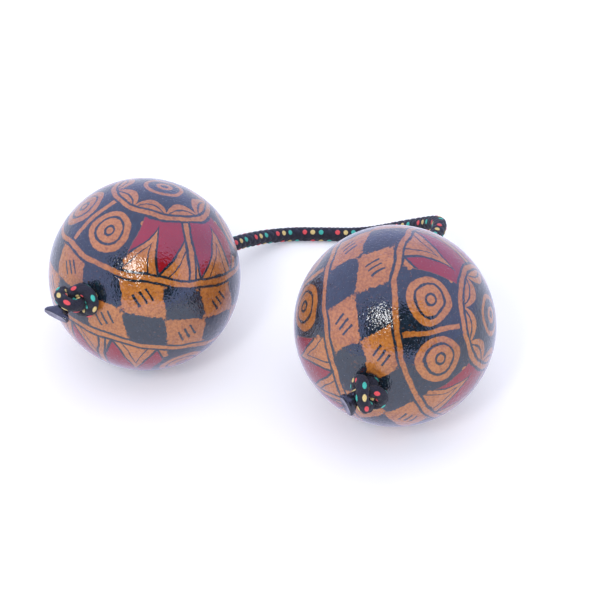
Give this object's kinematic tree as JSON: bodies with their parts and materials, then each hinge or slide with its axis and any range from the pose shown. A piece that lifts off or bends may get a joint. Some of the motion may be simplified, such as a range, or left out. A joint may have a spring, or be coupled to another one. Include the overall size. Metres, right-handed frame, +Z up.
{
  "type": "kashaka rattle",
  "caption": "Hollow lacquered gourd balls holding loose seeds, strung on a braided cord that ends in overhand stopper knots; shaken and knocked together as hand percussion.",
  "frame": {"origin": "on the resting surface, at the middle of the two gourds' box", "axes": "+X from the left gourd to the right gourd, +Y towards the free cord behind them, +Z up"},
  "size_m": [0.1282, 0.1043, 0.0552],
  "materials": {
    "lacquered_gourd_left": "gloss lacquer over a painted pattern",
    "lacquered_gourd_right": "gloss lacquer over a painted pattern",
    "seeds": "satin",
    "braided_cord": "braided, with coloured flecks",
    "melted_cord": "gloss"
  },
  "bodies": {
    "cord_left": {"cord_core_left": "braided_cord", "cord_left_run": "braided_cord", "stopper_knot_left": "braided_cord", "sealed_tip_left": "melted_cord"},
    "gourd_left": {"gourd_shell_left": "lacquered_gourd_left"},
    "heap_left": {"seeds_left": "seeds"},
    "cord_middle": {"cord_bend": "braided_cord"},
    "cord_right": {"cord_core_right": "braided_cord", "cord_right_run": "braided_cord", "stopper_knot_right": "braided_cord", "sealed_tip_right": "melted_cord"},
    "gourd_right": {"gourd_shell_right": "lacquered_gourd_right"},
    "heap_right": {"seeds_right": "seeds"}
  },
  "joints": [
    {"name": "left_gourd_spin", "type": "hinge", "parent": "cord_left", "child": "gourd_left", "pos_m": [-0.03695, 0, 0.02676], "axis": [0.3171, 0.8713, -0.3746], "continuous": true},
    {"name": "left_seed_tumble", "type": "hinge", "parent": "gourd_left", "child": "heap_left", "pos_m": [-0.03695, 0, 0.02676], "axis": [0.3171, 0.8713, -0.3746], "continuous": true},
    {"name": "cord_swing", "type": "hinge", "parent": "cord_left", "child": "cord_middle", "pos_m": [-0.004, 0.0592, 0.0021], "axis": [0, 0, 1], "range_deg": [-16, 116], "deforming": ["cord_bend"]},
    {"name": "cord_flip", "type": "hinge", "parent": "cord_middle", "child": "cord_right", "pos_m": [0.006, 0.0622, 0.0021], "axis": [-0.9578, -0.2873, 0], "range_deg": [0, 108]},
    {"name": "right_gourd_spin", "type": "hinge", "parent": "cord_right", "child": "gourd_right", "pos_m": [0.03635, 0, 0.02739], "axis": [-0.0346, 0.9919, -0.1219], "continuous": true},
    {"name": "right_seed_tumble", "type": "hinge", "parent": "gourd_right", "child": "heap_right", "pos_m": [0.03635, 0, 0.02739], "axis": [-0.0346, 0.9919, -0.1219], "continuous": true}
  ]
}
